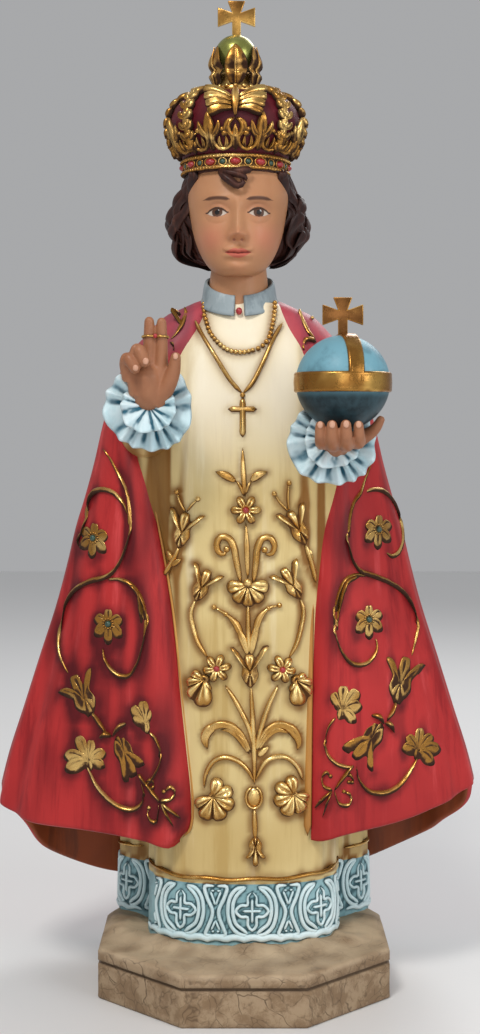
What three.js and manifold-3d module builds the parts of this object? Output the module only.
// A child king, robed and crowned, on an octagonal plinth: plinth, figure, crown, globe and two crosses.
// Millimetres, +Z up, the figure faces -Y, and the origin is the middle of the plinth's underside.
import * as THREE from "three";
import { mergeVertices } from "three/addons/utils/BufferGeometryUtils.js";
import Module from "manifold-3d";

const wasm = await Module();
wasm.setup();

// Driving sizes.
const CLEARANCE = 0.3; // left between two pieces that rest on or in each other
const PLINTH_ACROSS_FLATS = 176;
const PLINTH_HEIGHT = 30;
const PLINTH_BEVEL = 1.5;
const GROOVE_LEVEL = 22; // middle of the groove over the floor
const GROOVE_HEIGHT = 2.6;
const GROOVE_DEPTH = 1.8;
const FIGURE_HEIGHT = 482; // from the plinth's top to the top of the skull
const CAPE_THICKNESS = 5;
const CAPE_EDGE_THICKNESS = 12; // where a front edge lies on the tunic
const FOLD_DEPTH = 5; // of the folds round the cape's back
const CAPE_MIDDLE = -3.2; // X of the cape's and the head's own middles
const HEAD_MIDDLE = -3.6;
const HEAD_FORWARD = -4; // Y of the head's middle
const STEM_MIDDLE = 3; // X of the tunic's middle stem
const COLLAR_HEIGHT = 15;
const COLLAR_DIP = 11.5; // how far its front hangs lower than its back
const COLLAR_RADIUS = 22.6;
const COLLAR_THICKNESS = 4;
const LACE_LEVEL = 23; // middle of the lace over the foot
const SINK = 1.6; // how far carving is let into what carries it
const CROWN_WALL = 3.2; // of the jewelled band, round the skull
const CROWN_HEIGHT = 54; // from the rim to the top of the cap
const CROWN_FLARE = 14.6; // how far the arches swell beyond the band
const CROWN_BALL_RADIUS = 13.4;
const ARCH_COUNT = 8;
const GLOBE_RADIUS = 27.5;
const GLOBE_BAND_WIDTH = 11.6;
const GLOBE_BAND_RISE = 1.4;
const CROSS_HEIGHT = 20;
const CROSS_SPAN = 23.4;
const CROSS_THICKNESS = 3.4;
const CROSS_STEM = 5.4;
const CROSS_TIP = 12;

// Rows of the drawn figure: height, half width, foremost Y, rearmost Y.
const TUNIC = [
  [30, 60, -39, 60], [75, 59, -40, 60], [160, 57, -43, 58], [220, 58, -44, 56], [265, 62, -44, 55],
  [300, 68, -44, 54], [330, 72, -43, 52], [352, 69, -42, 50], [370, 59, -39, 47], [392, 48, -34, 42],
  [408, 33, -26, 34], [421, 22, -21, 24],
];
const UNDERSKIRT = [
  [30, 81, 8, 80], [75, 80, 8, 79], [140, 77, -2, 76], [230, 76, -20, 72], [300, 80, -30, 64],
  [347, 78, -30, 58], [385, 62, -24, 46], [405, 36, -14, 32],
];
const CAPE = [
  [36, 170, -48, 92], [116, 152.5, -48, 90], [140, 146.5, -48, 89], [166, 138, -48, 87], [200, 127, -48, 84],
  [233, 116, -48, 80], [260, 108.5, -47, 76], [282, 103, -47, 73], [301, 97, -46, 70], [322, 91, -46, 66],
  [347, 85, -45, 62], [370, 78, -42, 57], [392, 67, -36, 50], [402, 58, -32, 44], [414, 46, -25, 37],
  [419, 35, -22, 33], [424, 24, -19, 28],
];
const HEAD = [
  [436, 7, -31, -14], [440, 15, -35, 4], [447, 21, -37, 14], [458, 26, -38, 24], [470, 29, -39, 30],
  [484, 31, -38.5, 32], [493, 30.5, -36, 28], [500, 29.4, -33.4, 25.4], [507, 25, -29, 21],
  [512, 15, -19, 11],
];
const HAIR = [
  [446, 22, 2, 28], [452, 33, -5, 35], [462, 38, -11, 39], [472, 40, -14, 41], [485, 38, -17, 41],
  [494, 35.5, -24, 36], [500.7, 32.6, -36.6, 28.6],
];

// The tables' foot and height are the drawing's own. The figure takes its real height at the end, and a
// real size is turned into the drawing's by drawn().
const DRAWN_FOOT = TUNIC[0][0];
const FIGURE_SCALE = FIGURE_HEIGHT / (HEAD.at(-1)[0] - DRAWN_FOOT);
const FIGURE_FOOT = PLINTH_HEIGHT + CLEARANCE;
const drawn = (size) => size / FIGURE_SCALE;
const CAPE_AXIS_X = drawn(CAPE_MIDDLE);
const HEAD_AXIS_X = drawn(HEAD_MIDDLE);
const HEAD_AXIS_Y = drawn(HEAD_FORWARD);
const HAIR_TOP = HAIR.at(-1)[0];
const CAPE_TOP = CAPE.at(-1)[0];
const TUNIC_TOP = TUNIC.at(-1)[0];

// Front edges of the cape: height, distance from the tunic's middle.
const LEFT_EDGE = [
  [91, 41], [98, 35], [121, 33.4], [147, 36], [187, 41], [233, 47], [265, 53], [297, 60], [316, 64],
  [334, 69], [350, 66], [368, 54], [389, 38], [409, 30], [424, 25],
];
const RIGHT_EDGE = [
  [94, 43.6], [226, 46], [272, 48.4], [307, 51], [330, 56], [348, 54], [365, 42], [382, 32], [408, 26],
  [424, 19],
];
// Hem of the cape: degrees round from the front, height.
const HEM_LEFT = [
  [0, 91], [14, 91], [22, 97], [38, 102], [58, 103], [76, 109], [92, 118], [112, 92], [130, 66], [147, 50],
  [180, 38],
];
const HEM_RIGHT = [
  [0, 94], [16, 94], [24, 100], [40, 107], [60, 115], [90, 122], [112, 96], [130, 78], [150, 56], [180, 38],
];

// A table read at any height, by smooth steps from row to row.
function read(rows, height) {
  const last = rows.length - 1;
  const t = THREE.MathUtils.clamp(height, rows[0][0], rows[last][0]);
  let i = 0;
  while (i < last - 1 && t > rows[i + 1][0]) i += 1;
  const [a, b] = [rows[i], rows[i + 1]];
  const span = b[0] - a[0];
  const q = (t - a[0]) / span;
  const slope = (j, k) => {
    const [lo, hi] = [rows[Math.max(j - 1, 0)], rows[Math.min(j + 1, last)]];
    return ((hi[k] - lo[k]) / (hi[0] - lo[0])) * span;
  };
  return a.slice(1).map((value, k) => {
    const rise = q * q * (3 - 2 * q);
    const start = q * (1 - q) * (1 - q) * slope(i, k + 1);
    const end = q * q * (q - 1) * slope(i + 1, k + 1);
    return value + (b[k + 1] - value) * rise + start + end;
  });
}

// A point on a rounded section, at an angle measured from the front towards +X.
function onSection([half, front, back], angle, axisX, squareness = 2) {
  const [s, c] = [Math.sin(angle), Math.cos(angle)];
  const middle = front + 0.47 * (back - front);
  const reach = c > 0 ? middle - front : back - middle;
  const bulge = (value) => Math.sign(value) * Math.abs(value) ** (2 / squareness);
  return [axisX + half * bulge(s), middle - reach * bulge(c)];
}

// A closed body through rings of points, with a fan over each end.
function loft(rings) {
  const sides = rings[0].length;
  const middle = (ring) => ring.reduce((sum, p) => sum.add(p), new THREE.Vector3()).divideScalar(sides);
  const points = [...rings.flat(), middle(rings[0]), middle(rings.at(-1))];
  const faces = [];
  for (let side = 0; side < sides; side += 1) {
    const next = (side + 1) % sides;
    faces.push(rings.length * sides, next, side);
    for (let row = 0; row < rings.length - 1; row += 1) {
      const [a, b] = [row * sides + side, row * sides + next];
      faces.push(a, b, b + sides, a, b + sides, a + sides);
    }
    const last = (rings.length - 1) * sides;
    faces.push(rings.length * sides + 1, last + side, last + next);
  }
  return new THREE.BufferGeometry().setFromPoints(points).setIndex(faces);
}

function solid(geometry) {
  geometry.deleteAttribute("normal");
  geometry.deleteAttribute("uv");
  const merged = mergeVertices(geometry, 1e-3);
  const mesh = new wasm.Mesh({
    numProp: 3,
    vertProperties: merged.attributes.position.array,
    triVerts: new Uint32Array(merged.index.array),
  });
  const made = new wasm.Manifold(mesh);
  if (made.volume() > 0) return made;
  const turned = merged.clone().scale(-1, 1, 1);
  turned.index.array.reverse();
  return solid(turned.scale(-1, 1, 1));
}

function joined(solids) {
  return solids.reduce((sum, piece) => sum.add(piece));
}

// The surface of a joined or cut body.
function geometryOf(body) {
  const { vertProperties, triVerts } = body.getMesh();
  const geometry = new THREE.BufferGeometry();
  geometry.setAttribute("position", new THREE.BufferAttribute(vertProperties, 3));
  return geometry.setIndex(new THREE.BufferAttribute(triVerts, 1));
}

function meshOf(name, body, colour, roughness, metalness) {
  const material = new THREE.MeshStandardMaterial({ color: colour, roughness, metalness });
  const mesh = new THREE.Mesh(geometryOf(body), material);
  mesh.name = name;
  return mesh;
}

const vector = (x, y, z) => new THREE.Vector3(x, y, z);
const count = (total, make) => Array.from({ length: total }, (_, i) => make(i));
const atFigure = (x, y, z) =>
  vector(x * FIGURE_SCALE, y * FIGURE_SCALE, FIGURE_FOOT + (z - DRAWN_FOOT) * FIGURE_SCALE);

// A closed body from a table of sections.
function stack(rows, sides, heights, axisX, squareness, shape = (x, y) => [x, y]) {
  return solid(loft(heights.map((z) => count(sides, (i) => {
    const angle = (i / sides) * 2 * Math.PI;
    const [x, y] = onSection(read(rows, z), angle, axisX, squareness);
    return vector(...shape(x, y, z, angle), z);
  }))));
}

// A round, tapering limb through chosen points: each is x, y, z, radius.
function limb(points, sides, steps = points.length - 1) {
  const path = new THREE.CatmullRomCurve3(points.map(([x, y, z]) => vector(x, y, z)));
  return solid(loft(count(steps + 1, (i) => {
    const share = i / steps;
    const at = share * (points.length - 1);
    const [low, high] = [points[Math.floor(at)], points[Math.min(Math.floor(at) + 1, points.length - 1)]];
    const radius = THREE.MathUtils.lerp(low[3], high[3], at % 1);
    const along = path.getTangent(share);
    const across = vector(1, 0.01, 0.02).cross(along).normalize();
    const up = along.clone().cross(across);
    return count(sides, (k) => {
      const turn = (k / sides) * 2 * Math.PI;
      return path.getPoint(share)
        .addScaledVector(across, radius * Math.cos(turn))
        .addScaledVector(up, radius * Math.sin(turn));
    });
  })));
}

// Surfaces of the cape and the tunic, as the Y where a point drawn from the front meets them.
function frontOf(rows, x, z, axisX, squareness) {
  const [half, front, back] = read(rows, z);
  const middle = front + 0.47 * (back - front);
  const across = Math.min(Math.abs(x - axisX) / half, 0.995);
  return middle - (middle - front) * (1 - across ** squareness) ** (1 / squareness);
}
const TUNIC_SQUARE = 2.6;
const CAPE_SQUARE = 2;
const HEAD_SQUARE = 2.15;
const SKULL_RADIUS = read(HEAD, HAIR_TOP)[0]; // inside the crown
const onTunic = (x, z) => frontOf(TUNIC, x, z, 0, TUNIC_SQUARE);
const onCape = (x, z) => frontOf(CAPE, x, z, CAPE_AXIS_X, CAPE_SQUARE);

// Outward direction of such a surface.
function outward(surface, x, z) {
  const slopeX = (surface(x + 1, z) - surface(x - 1, z)) / 2;
  const slopeZ = (surface(x, z + 1) - surface(x, z - 1)) / 2;
  return vector(slopeX, -1, slopeZ).normalize();
}

// The cape: a thick sheet from front edge to front edge round the back, with soft folds towards its hem.
const CAPE_AROUND = 34;
const CAPE_DOWN = 6; // closer together over the shoulders
const FOLDS = 11; // round a full turn, though only the back is folded
function capePoint(around, down, inside) {
  const hemAt = (turn) => (turn < 0 ? read(HEM_LEFT, -turn) : read(HEM_RIGHT, turn))[0];
  const edgeAngle = (rows, z, side) => {
    const [half] = read(CAPE, z);
    return Math.asin(Math.min((read(rows, z)[0] - side * CAPE_AXIS_X) / half, 1));
  };
  let z = CAPE_TOP;
  let angle = 0;
  for (let pass = 0; pass < 3; pass += 1) {
    const from = edgeAngle(LEFT_EDGE, z, -1);
    const to = 2 * Math.PI - edgeAngle(RIGHT_EDGE, z, 1);
    angle = from + (to - from) * around;
    const degrees = THREE.MathUtils.radToDeg(angle);
    const hem = hemAt(degrees <= 180 ? -degrees : 360 - degrees);
    z = CAPE_TOP + (hem - CAPE_TOP) * down;
  }
  const ahead = THREE.MathUtils.smoothstep(Math.abs(Math.PI - angle), 0.9, 1.5);
  const sway = 0.35 * Math.sin(down * 5 + angle * 2);
  const deep = drawn(FOLD_DEPTH) * (1 - ahead) * THREE.MathUtils.smoothstep(down, 0.2, 1);
  const fold = deep * Math.cos(angle * FOLDS + sway);
  const nearEdge = Math.exp(-Math.min(around, 1 - around) * 26);
  const thickness = drawn(CAPE_THICKNESS + (CAPE_EDGE_THICKNESS - CAPE_THICKNESS) * nearEdge);
  const [half, front, back] = read(CAPE, z);
  const inset = fold - inside * thickness;
  const [x, y] = onSection([half + inset, front - inset, back + inset], -angle, CAPE_AXIS_X, CAPE_SQUARE);
  return vector(x, y, z);
}
function cape() {
  const sheet = new THREE.BoxGeometry(1, 1, 1, CAPE_AROUND, CAPE_DOWN, 1);
  const place = sheet.attributes.position;
  for (let i = 0; i < place.count; i += 1) {
    const point = capePoint(place.getX(i) + 0.5, (0.5 - place.getY(i)) ** 1.8, place.getZ(i) > 0 ? 0 : 1);
    place.setXYZ(i, point.x, point.y, point.z);
  }
  return solid(sheet);
}

// The tunic: a front panel with shallow folds and a scalloped lace hem, over a wider underskirt.
const levels = (from, to, steps) => count(steps + 1, (i) => from + ((to - from) * i) / steps);
function tunic() {
  const pleat = (x, y, z, angle) => {
    const front = Math.max(Math.cos(angle), 0);
    return [x, y + 1.1 * Math.cos(angle * 12) * front * THREE.MathUtils.smoothstep(z, 75, 150)];
  };
  const front = stack(TUNIC, 24, levels(DRAWN_FOOT, TUNIC_TOP, 6), 0, TUNIC_SQUARE, pleat);
  const under = stack(UNDERSKIRT, 20, levels(DRAWN_FOOT, 365, 4), 0, TUNIC_SQUARE);
  const shoulders = stack(CAPE, 14, [345, 376, 397, 411, 421], CAPE_AXIS_X, CAPE_SQUARE,
    (x, y, z) => [CAPE_AXIS_X + (x - CAPE_AXIS_X) * 0.97, Math.max(y * 0.96, -31 + (z - 345) * 0.15)]);
  return [front, under, shoulders];
}

// A raised vine: a low ridge through points drawn from the front, each x, z, on a carved surface.
const SUNK = drawn(SINK);
function vine(points, width, rise, surface, steps = points.length - 1) {
  const path = new THREE.CatmullRomCurve3(points.map(([x, z]) => vector(x, 0, z)), false, "centripetal");
  return solid(loft(count(steps + 1, (i) => {
    const at = path.getPoint(i / steps);
    const along = path.getTangent(i / steps);
    const taper = 0.45 + 0.55 * Math.sin(Math.PI * Math.min(Math.max(i / steps, 0.12), 0.88));
    const out = outward(surface, at.x, at.z);
    const side = vector(along.z, 0, -along.x).multiplyScalar((width / 2) * taper);
    const put = (x, z, up) => vector(x, surface(x, z), z).addScaledVector(out, up);
    return [
      put(at.x - side.x, at.z - side.z, -SUNK),
      put(at.x, at.z, rise),
      put(at.x + side.x, at.z + side.z, -SUNK),
    ];
  })));
}

// A raised boss: an outline given by its reach at each angle, domed over the surface that carries it.
function boss(x, z, reach, rise, surface, sides, heart = 0) {
  const out = outward(surface, x, z);
  const ring = (share, up) => count(sides, (i) => {
    const turn = (i / sides) * 2 * Math.PI;
    const r = reach(turn) * share;
    const [px, pz] = [x + r * Math.sin(turn), z + r * Math.cos(turn)];
    return vector(px, surface(px, pz), pz).addScaledVector(out, up);
  });
  return solid(loft([ring(1, -SUNK), ring(0.6, rise), ...(heart > 0 ? [ring(0.2, rise + heart)] : [])]));
}
// A flower of rounded petals, and a leaf or bloom whose lobes fan out about a heading in degrees.
const flower = (x, z, radius, surface, petals = 5) => boss(
  x, z, (t) => radius * (0.62 + 0.38 * Math.abs(Math.cos((t * petals) / 2))), 2, surface, petals * 2, 2);
const leaf = (x, z, length, heading, surface, lobes = 5) => {
  const aim = THREE.MathUtils.degToRad(heading);
  const reach = (t) => {
    const off = Math.atan2(Math.sin(t - aim), Math.cos(t - aim));
    const fan = 0.42 + 0.58 * Math.cos(off / 2) ** 2;
    return length * fan * (0.72 + 0.28 * Math.cos((off * lobes * 2) / 2) ** 2);
  };
  return boss(x, z, reach, 3, surface, lobes * 2);
};

// Gilt carving on the cape's two front panels.
function capeCarving() {
  const stem = (points, width = 4.6) => vine(points, width, 2.6, onCape);
  return [
    stem([[-88, 334], [-73, 312], [-68.5, 284], [-82, 253]]),
    stem([[-69, 291], [-88, 302], [-101, 269]], 3.6),
    stem([[-84, 251], [-110, 228], [-104, 191]]),
    stem([[-82, 252], [-62, 241], [-62, 206], [-79, 199]], 6.4),
    stem([[-88, 172], [-78, 158]], 5.5),
    stem([[-59, 132], [-50, 147], [-57, 164]], 3.6),
    stem([[-62, 132], [-73, 117], [-91, 134]]),
    stem([[-60, 131], [-42, 108]], 4.2),
    flower(-91.4, 273, 10, onCape),
    flower(-81, 222.4, 10, onCape),
    leaf(-96, 181, 16, -40, onCape, 4),
    leaf(-67, 146, 13, 145, onCape, 3),
    leaf(-60, 169, 12, -10, onCape, 4),
    leaf(-94, 146, 13, 0, onCape, 4),
    stem([[76, 316], [63, 278], [88, 250], [105, 230], [101, 202]]),
    stem([[71, 302], [88, 300], [92, 266]], 3.6),
    stem([[74, 254.6], [56, 230], [68, 204], [78.5, 218]], 6.4),
    stem([[93, 178], [84, 166]], 5.5),
    stem([[66, 143], [50, 149], [54, 172]], 3.6),
    stem([[68, 140], [83, 126], [104, 141]]),
    stem([[66, 141], [49, 111]], 4.2),
    flower(82.5, 278.6, 10, onCape),
    flower(76, 225.5, 10, onCape),
    leaf(98, 191, 14, 20, onCape, 4),
    leaf(76, 156, 13, -130, onCape, 3),
    leaf(61, 179, 13, 30, onCape, 4),
    leaf(108, 146, 14, 40, onCape, 4),
    vine([[46, 402], [41, 380]], 3.4, 2.4, onCape),
    vine([[-38, 402], [-45, 387]], 3.4, 2.4, onCape),
  ];
}

// Gilt carving on the tunic. Mirrored pairs turn about the middle stem.
function tunicCarving() {
  const middle = drawn(STEM_MIDDLE);
  const stem = (points, width = 3.4) => vine(points, width, 2.2, onTunic);
  const pair = (points, width) => [1, -1].map((side) => stem(
    points.map(([x, z]) => [middle + side * x, z]), width));
  const pairLeaf = (x, z, length, heading, lobes) => [1, -1].map((side) => leaf(
    middle + side * x, z, length, side * heading, onTunic, lobes));
  return [
    stem([[0, 331], [1.5, 303]], 4),
    flower(1.6, 294.5, 9.6, onTunic, 5),
    stem([[1.6, 286], [2.6, 254]]),
    ...pair([[-5, 250], [-6, 270], [-18, 274]], 3.8),
    stem([[2.6, 254], [3.6, 225], [4.4, 198]], 3.8),
    ...pairLeaf(7, 202, 12, 35, 3),
    ...pairLeaf(19, 200, 8.6, 0, 4),
    ...pair([[22, 208], [31, 222], [31, 243]], 3.4),
    ...pairLeaf(28, 252, 13, -15, 3),
    ...pair([[47, 250], [37, 275]], 3.4),
    ...pairLeaf(37, 287, 15, -5, 4),
    ...pair([[17, 191], [9, 172], [2, 153]], 3.2),
    stem([[4.7, 190], [7.8, 128]]),
    ...pair([[3, 148], [15, 166], [27, 153]], 6),
    ...pairLeaf(30, 186, 11, 175, 4),
    ...pair([[3, 136], [17, 147], [28, 132]], 5),
    ...pairLeaf(22, 124, 12, 180, 4),
    stem([[7.6, 119], [8.3, 96]], 3.8),
    leaf(8.3, 92, 6, 180, onTunic, 3),
  ];
}

// Lace hem: crosses between arcs on the front panel, under a thin cord.
function lace() {
  const level = DRAWN_FOOT + drawn(LACE_LEVEL);
  const crossReach = (t) => 6 + 4.5 * Math.abs(Math.cos(2 * t));
  const crosses = [-39, 5, 48].map((x) => boss(x, level, crossReach, 2, onTunic, 8));
  const arcs = [[-54, 1], [-24, -1], [-17, 1], [27, 1], [33, -1]].map(([x, side]) => vine(
    [[x, level - 16], [x + side * 4.4, level], [x, level + 16]], 3, 1.8, onTunic));
  return [...crosses, ...arcs, vine([[-56, 76], [-42, 73], [0, 72.8], [42, 73], [56, 76]], 3, 2, onTunic)];
}

// A frilled cuff: pleats that fan out from the wrist, seen from the front as a scalloped disc.
function frill(x, y, z, radius, depth, pleats) {
  const turn = (i) => (i / (pleats * 2)) * 2 * Math.PI;
  const ring = (share, level, swing) => count(pleats * 2, (i) => vector(
    x + radius * (share + (i % 2 ? -0.04 : 0.04) * swing) * Math.sin(turn(i)),
    y + level + (i % 2 ? depth : -depth) * swing,
    z + radius * (share + (i % 2 ? -0.04 : 0.04) * swing) * Math.cos(turn(i)),
  ));
  return solid(loft([ring(0.5, 8, 0), ring(1, 1.2, 1), ring(0.4, 1, 0.3)]));
}

// Hands: each finger is a limb of x, y, z, radius through its joints.
const GLOBE_REST = vector(56.6, -85, 342.5); // lowest point of the globe in the palm
function raisedHand() {
  const palm = [[-55, -72, 344, 8], [-55, -82, 359, 9.4], [-56, -85, 376, 9.6]];
  const limbs = [
    [[-50, -84, 364, 6.8], [-48.6, -85.6, 381, 4.8]],
    [[-61, -84, 364, 7], [-62.6, -86, 379, 5]],
    [[-55, -84.5, 376, 5.2], [-54.4, -86.5, 388, 4.2], [-54, -88.8, 406, 3]],
    [[-48.2, -85, 376, 5], [-47.9, -86.8, 388, 4.1], [-47.8, -89, 405.6, 2.9]],
    [[-60.2, -85, 376, 4.8], [-61.4, -90, 386, 4.4], [-60, -95, 387, 4], [-57.4, -97, 380, 3.2]],
    [[-65.6, -84.5, 372, 4.6], [-67, -88.8, 379.4, 4.2], [-66, -93.4, 380.8, 3.6], [-62.6, -96, 375.4, 2.8]],
    [[-51, -82, 360, 7], [-44.6, -87, 367, 5.4], [-40.2, -90, 375.5, 4.4], [-38.6, -92.5, 386, 3.1]],
  ];
  return [limb(palm, 8), ...limbs.map((part) => limb(part, 6))];
}
function holdingHand() {
  const palm = [[51, -66, 332, 9], [54, -76, 334, 11], [55, -87, 334, 9]];
  const limbs = [
    [[47, -80, 334.6, 6], [43.4, -95, 331, 4.7], [42.2, -104.5, 335, 4], [41.8, -107.2, 346, 2.8]],
    [[51.5, -84, 333, 6], [50, -97, 329.5, 4.8], [49, -107, 333.5, 4.1], [48.6, -110, 345.6, 2.9]],
    [[58, -84, 333, 6], [58, -97, 329.5, 4.8], [57.4, -107, 333.5, 4.1], [57, -110, 345.6, 2.9]],
    [[64, -82, 334, 5.8], [65.4, -94, 332, 4.6], [65.2, -103.5, 336, 3.9], [64.6, -106.4, 347, 2.8]],
    [[64, -76, 336, 7], [72, -82, 341.5, 5.4], [77.5, -86.5, 347, 4.4], [79.5, -88, 355, 3.2]],
  ];
  return [limb(palm, 8), ...limbs.map((part) => limb(part, 6))];
}
function sleeves() {
  return [
    limb([[-58, 4, 342, 22], [-58, -30, 343, 19], [-56, -60, 348, 15.5], [-55, -78, 353, 12.5]], 8),
    limb([[56, 4, 332, 22], [55, -30, 331, 18], [52, -58, 333, 15], [51, -74, 336, 12.5]], 8),
    frill(-55, -78, 356, 26, 3, 9),
    frill(-55, -86, 357.5, 17.2, 2.4, 7),
    frill(51, -75, 336, 26, 3, 9),
    frill(51, -83, 337, 17.2, 2.4, 7),
  ];
}

// Head, neck, locks of hair, collar and necklaces.
function head() {
  const skull = stack(HEAD, 16, HEAD.map(([z]) => z), HEAD_AXIS_X, HEAD_SQUARE);
  const parts = [
    [[0, -35, 477, 2], [0, -40, 466, 2.8], [0, -40.5, 461, 3.6], [0, -37, 458, 3]],
    [[-7, -36.6, 449.6, 1.6], [0, -38.4, 449.8, 2.4], [7, -36.6, 449.6, 1.6]],
    [[7, -36, 473.6, 2.4], [12.6, -35.4, 473.6, 3], [18, -32, 473.6, 2]],
    [[5, -37.4, 481.6, 1.4], [13, -36.8, 483.4, 2], [20, -32, 481.6, 1.2]],
  ];
  const both = [...parts, ...parts.slice(2).map((part) => part.map(([x, y, z, r]) => [-x, y, z, r]))];
  const face = both.map((part) => limb(part.map(([x, y, z, r]) => [HEAD_AXIS_X + x, y, z, r]), 5));
  const neck = [[-2.5, 412, 19], [-3, 430, 18.6], [-5, 446, 16]].map((rest) => [HEAD_AXIS_X, ...rest]);
  return [skull, limb(neck, 12), ...face];
}
const LOCKS = 10;
function hair() {
  const curl = (x, y, z, angle) => {
    const swing = 0.16 * Math.sin((z - 446) / 7);
    const [middleX, middleY] = [HEAD_AXIS_X, HEAD_AXIS_Y + 12];
    const wave = Math.cos((angle + swing) * LOCKS) + 0.5;
    const depth = 1 + 0.07 * wave * THREE.MathUtils.smoothstep(HAIR_TOP - z, 0, 14);
    return [middleX + (x - middleX) * depth, middleY + (y - middleY) * depth];
  };
  const mass = stack(HAIR, LOCKS * 3, HAIR.map(([z]) => z), HEAD_AXIS_X, 2, curl);
  const forelock = [-1, 1, 2.6].map((side) => limb([
    [HEAD_AXIS_X - 2 + side * 5, -34, 498, 3.6],
    [HEAD_AXIS_X - 1 + side * 3.6, -38.6, 493, 3.8],
    [HEAD_AXIS_X + side * 1.6, -39, 487, 1.8],
  ], 5));
  return [mass, ...forelock];
}
function collar() {
  const gap = 0.16; // half the opening at the throat, in radians
  const band = new THREE.BoxGeometry(1, 1, 1, 14, 1, 1);
  const place = band.attributes.position;
  for (let i = 0; i < place.count; i += 1) {
    const angle = gap + (place.getX(i) + 0.5) * 2 * (Math.PI - gap);
    const rise = place.getY(i) + 0.5;
    const dip = ((1 + Math.cos(angle)) / 2) ** 1.6;
    const radius = drawn(COLLAR_RADIUS - rise - (place.getZ(i) > 0 ? 0 : COLLAR_THICKNESS));
    const z = 425.5 + drawn(COLLAR_HEIGHT * rise - COLLAR_DIP * dip * (1 + rise / 3));
    place.setXYZ(i, -2.8 + radius * Math.sin(angle), -1 - radius * Math.cos(angle), z);
  }
  return solid(band);
}
function necklaces() {
  const pendant = [0.3, 352];
  return [
    vine([[-26, 414], [-21, 404], [-1, 388.5], [17, 403], [20, 414]], 3.6, 2.6, onTunic),
    vine([[-29, 408], [-16, 386], [-0.6, 364], [12, 386], [25, 407]], 2.6, 2, onTunic, 8),
    vine([[pendant[0], 362], [pendant[0], 338]], 5, 2.6, onTunic, 2),
    vine([[pendant[0] - 8, 355.5], [pendant[0] + 8, 355.5]], 4.4, 2.6, onTunic, 2),
  ];
}

// A body's own mesh, scaled about its origin and then moved.
function placed(body, scale, move) {
  return solid(geometryOf(body).scale(scale, scale, scale).translate(move.x, move.y, move.z));
}
const GLOBE_CENTRE = atFigure(GLOBE_REST.x, GLOBE_REST.y, GLOBE_REST.z).add(vector(0, 0, GLOBE_RADIUS));

function figure() {
  const carved = joined([
    ...tunic(), cape(), ...sleeves(), ...head(), ...hair(), collar(), ...necklaces(),
    ...tunicCarving(), ...capeCarving(), ...lace(), ...raisedHand(), ...holdingHand(),
  ]);
  const real = placed(carved, FIGURE_SCALE, atFigure(0, 0, 0));
  return real.subtract(placed(globe(), 1 + CLEARANCE / GLOBE_RADIUS, GLOBE_CENTRE));
}

// The plinth: an octagon with a groove round it.
function plinth() {
  const octagon = (across, z) => count(8, (i) => {
    const turn = ((i + 0.5) / 8) * 2 * Math.PI;
    const corner = across / 2 / Math.cos(Math.PI / 8);
    return vector(corner * Math.cos(turn), corner * Math.sin(turn), z);
  });
  const groove = PLINTH_ACROSS_FLATS - 2 * GROOVE_DEPTH;
  return solid(loft([
    octagon(PLINTH_ACROSS_FLATS, 0),
    octagon(PLINTH_ACROSS_FLATS, GROOVE_LEVEL - GROOVE_HEIGHT / 2),
    octagon(groove, GROOVE_LEVEL - GROOVE_HEIGHT / 4),
    octagon(groove, GROOVE_LEVEL + GROOVE_HEIGHT / 4),
    octagon(PLINTH_ACROSS_FLATS, GROOVE_LEVEL + GROOVE_HEIGHT / 2),
    octagon(PLINTH_ACROSS_FLATS, PLINTH_HEIGHT - PLINTH_BEVEL),
    octagon(PLINTH_ACROSS_FLATS - 2 * PLINTH_BEVEL, PLINTH_HEIGHT),
  ]));
}

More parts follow.
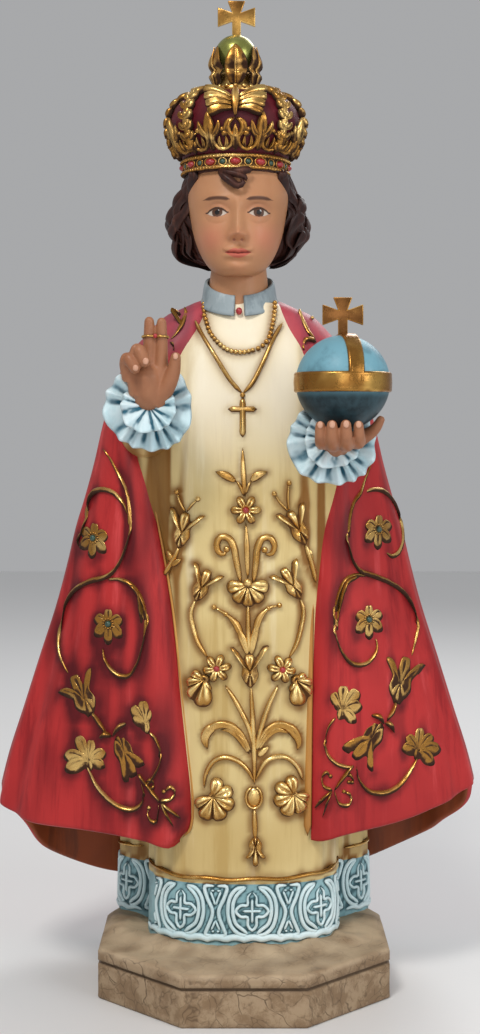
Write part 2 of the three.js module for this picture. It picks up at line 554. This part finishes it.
// The crown: jewelled band, arches with fleurs between, domed cap and a ball on leaves.
const RIM = atFigure(HEAD_AXIS_X, HEAD_AXIS_Y, HAIR_TOP).add(vector(0, 0, CLEARANCE));
const BAND_RADIUS = SKULL_RADIUS * FIGURE_SCALE + CLEARANCE + CROWN_WALL;
const WIDEST_RADIUS = BAND_RADIUS + CROWN_FLARE - CROWN_WALL;
const BAND_HEIGHT = CROWN_HEIGHT * 0.17;
function crown() {
  const round = (rows, sides) => {
    const profile = rows.map(([radius, z]) => new THREE.Vector2(radius, z));
    return solid(new THREE.LatheGeometry(profile, sides).rotateX(Math.PI / 2));
  };
  // Each level: share of the height, radius of the cap, and how far an arch and a fleur stand out from it.
  const rows = [
    [0, BAND_RADIUS, 0, 0], [0.16, BAND_RADIUS + 1, 0, 0],
    [0.2, BAND_RADIUS - 1, 2, 2], [0.4, WIDEST_RADIUS - 6, 5.4, 4.6], [0.6, WIDEST_RADIUS - 6, 6, 5],
    [0.76, WIDEST_RADIUS - 9, 6, 0], [0.88, WIDEST_RADIUS - 15, 6, 0], [0.97, BAND_RADIUS * 0.36, 6, 0],
  ];
  const body = solid(loft(rows.map(([share, radius, arch, fleur]) => count(ARCH_COUNT * 4, (i) => {
    const turn = (i / ARCH_COUNT / 4) * 2 * Math.PI;
    const reach = radius + [arch, -1, fleur, -1][i % 4] * (share > 0.16 ? 1 : 0);
    return vector(reach * Math.sin(turn), -reach * Math.cos(turn), share * CROWN_HEIGHT);
  }))));
  const ballLevel = CROWN_HEIGHT + CROWN_BALL_RADIUS * 1.55;
  const leaves = round([
    [0, CROWN_HEIGHT - 3], [CROWN_BALL_RADIUS * 0.9, CROWN_HEIGHT - 3],
    [CROWN_BALL_RADIUS * 0.7, CROWN_HEIGHT + 3],
    [CROWN_BALL_RADIUS * 1.28, ballLevel - CROWN_BALL_RADIUS * 0.45],
    [CROWN_BALL_RADIUS, ballLevel - CROWN_BALL_RADIUS * 0.3], [0, ballLevel - CROWN_BALL_RADIUS * 0.3],
  ], 12);
  const ball = round([
    ...count(5, (i) => {
      const turn = (i / 5) * Math.PI * 0.93;
      return [CROWN_BALL_RADIUS * Math.sin(turn), ballLevel - CROWN_BALL_RADIUS * Math.cos(turn)];
    }),
    [CROWN_BALL_RADIUS * 0.2, ballLevel + CROWN_BALL_RADIUS * 1.02],
    [0, ballLevel + CROWN_BALL_RADIUS * 1.02],
  ], 12);
  const skull = stack(HEAD, 16, HEAD.map(([z]) => z).slice(5), HEAD_AXIS_X, HEAD_SQUARE);
  const grown = FIGURE_SCALE * (1 + CLEARANCE / SKULL_RADIUS);
  const recess = placed(skull, grown, vector(-HEAD_AXIS_X, -HEAD_AXIS_Y, -HAIR_TOP).multiplyScalar(grown));
  return { body: joined([body, leaves, ball]).subtract(recess), top: ballLevel + CROWN_BALL_RADIUS * 1.02 };
}

// A flat cross whose arms widen to their tips, standing on its foot.
function cross() {
  const [stem, tip, reach] = [CROSS_STEM / 2, CROSS_TIP / 2, CROSS_SPAN / 2];
  const middle = CROSS_HEIGHT - reach * 0.96;
  const top = CROSS_HEIGHT;
  const outline = new THREE.Shape([
    [-stem, 0], [stem, 0], [stem * 0.8, middle - stem], [reach, middle - tip], [reach, middle + tip],
    [stem * 0.8, middle + stem], [tip, top], [-tip, top], [-stem * 0.8, middle + stem],
    [-reach, middle + tip], [-reach, middle - tip], [-stem * 0.8, middle - stem],
  ].map(([x, y]) => new THREE.Vector2(x, y)));
  const flat = new THREE.ExtrudeGeometry(outline, { depth: CROSS_THICKNESS, bevelEnabled: false });
  return solid(flat.translate(0, 0, -CROSS_THICKNESS / 2).rotateX(Math.PI / 2));
}

// The globe: a ball with an equator band and a band over its top, on which a small seat holds the cross.
const SEAT_RADIUS = CROSS_STEM * 0.8;
const SEAT_RISE = 2;
function globe() {
  const ball = new THREE.SphereGeometry(GLOBE_RADIUS, 14, 8).rotateX(Math.PI / 2);
  const band = () => {
    const [outer, half] = [GLOBE_RADIUS + GLOBE_BAND_RISE, GLOBE_BAND_WIDTH / 2];
    const inner = GLOBE_RADIUS - 3;
    const profile = [[inner, -half], [outer, -half], [outer, half], [inner, half], [inner, -half]];
    return new THREE.LatheGeometry(profile.map(([r, z]) => new THREE.Vector2(r, z)), 14);
  };
  const seat = new THREE.CylinderGeometry(SEAT_RADIUS, SEAT_RADIUS * 1.3, SEAT_RISE * 3, 8);
  seat.rotateX(Math.PI / 2).translate(0, 0, GLOBE_RADIUS + GLOBE_BAND_RISE - SEAT_RISE / 2);
  const bands = [band().rotateX(Math.PI / 2), band().rotateZ(Math.PI / 2)];
  return joined([ball, ...bands, seat].map((part) => solid(part)));
}

const statue = new THREE.Group();
const gold = "#b5853c";
statue.add(meshOf("plinth", plinth(), "#a59380", 0.75, 0));
statue.add(meshOf("figure", figure(), "#a8323f", 0.55, 0));

const crownMade = crown();
const crownMesh = meshOf("crown", crownMade.body, gold, 0.35, 0.7);
crownMesh.position.copy(RIM);
const crownCross = meshOf("crown_cross", cross(), gold, 0.45, 0.6);
crownCross.position.copy(RIM).add(vector(0, 0, crownMade.top + CLEARANCE));
statue.add(crownMesh, crownCross);

const globeMesh = meshOf("globe", globe(), "#5a8296", 0.45, 0);
globeMesh.position.copy(GLOBE_CENTRE);
const globeCross = meshOf("globe_cross", cross(), gold, 0.45, 0.6);
globeCross.position.copy(globeMesh.position);
globeCross.position.z += GLOBE_RADIUS + GLOBE_BAND_RISE + SEAT_RISE + CLEARANCE;
statue.add(globeMesh, globeCross);

export default statue;
